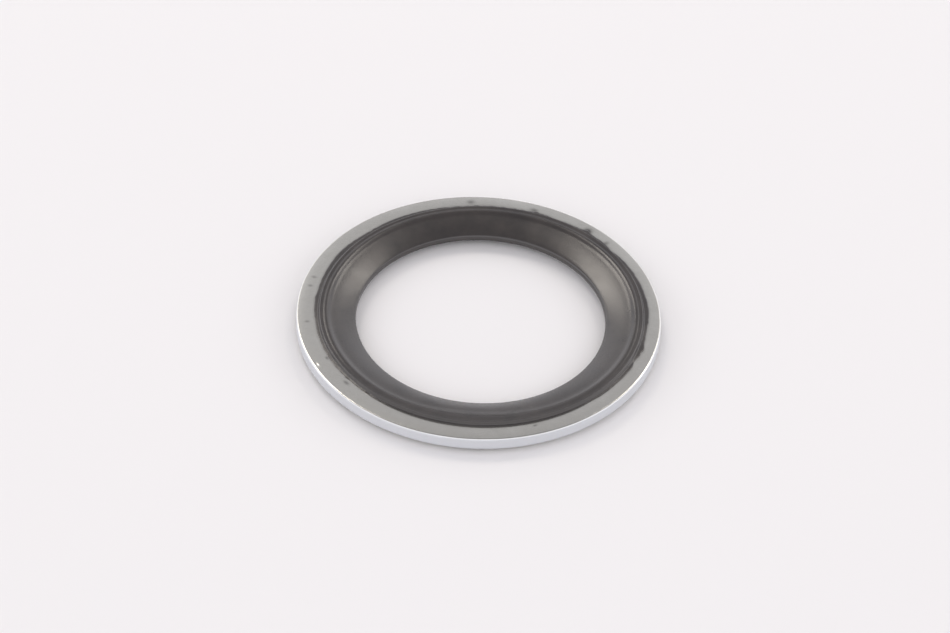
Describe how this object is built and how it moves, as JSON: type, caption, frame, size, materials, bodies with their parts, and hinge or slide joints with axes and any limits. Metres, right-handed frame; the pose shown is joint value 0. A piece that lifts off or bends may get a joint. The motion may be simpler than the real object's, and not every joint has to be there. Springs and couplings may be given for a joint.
{
  "type": "seal ring",
  "caption": "Flat metal ring with a moulded rubber ring in its bore, whose raised lips seal both faces around a threaded stud.",
  "frame": {"origin": "centre of the ring, on its axis, midway between the two faces", "axes": "+Z along the ring's axis, out of the upper face; the ring lies flat in XY"},
  "size_m": [0.024, 0.024, 0.0014],
  "materials": {
    "zinc_steel": "satin zinc plating with fine tumbled scuffs",
    "black_rubber": "smooth semi-matt moulded nitrile rubber"
  },
  "bodies": {
    "root": {"steel_ring": "zinc_steel", "rubber_seal": "black_rubber"}
  },
  "joints": []
}
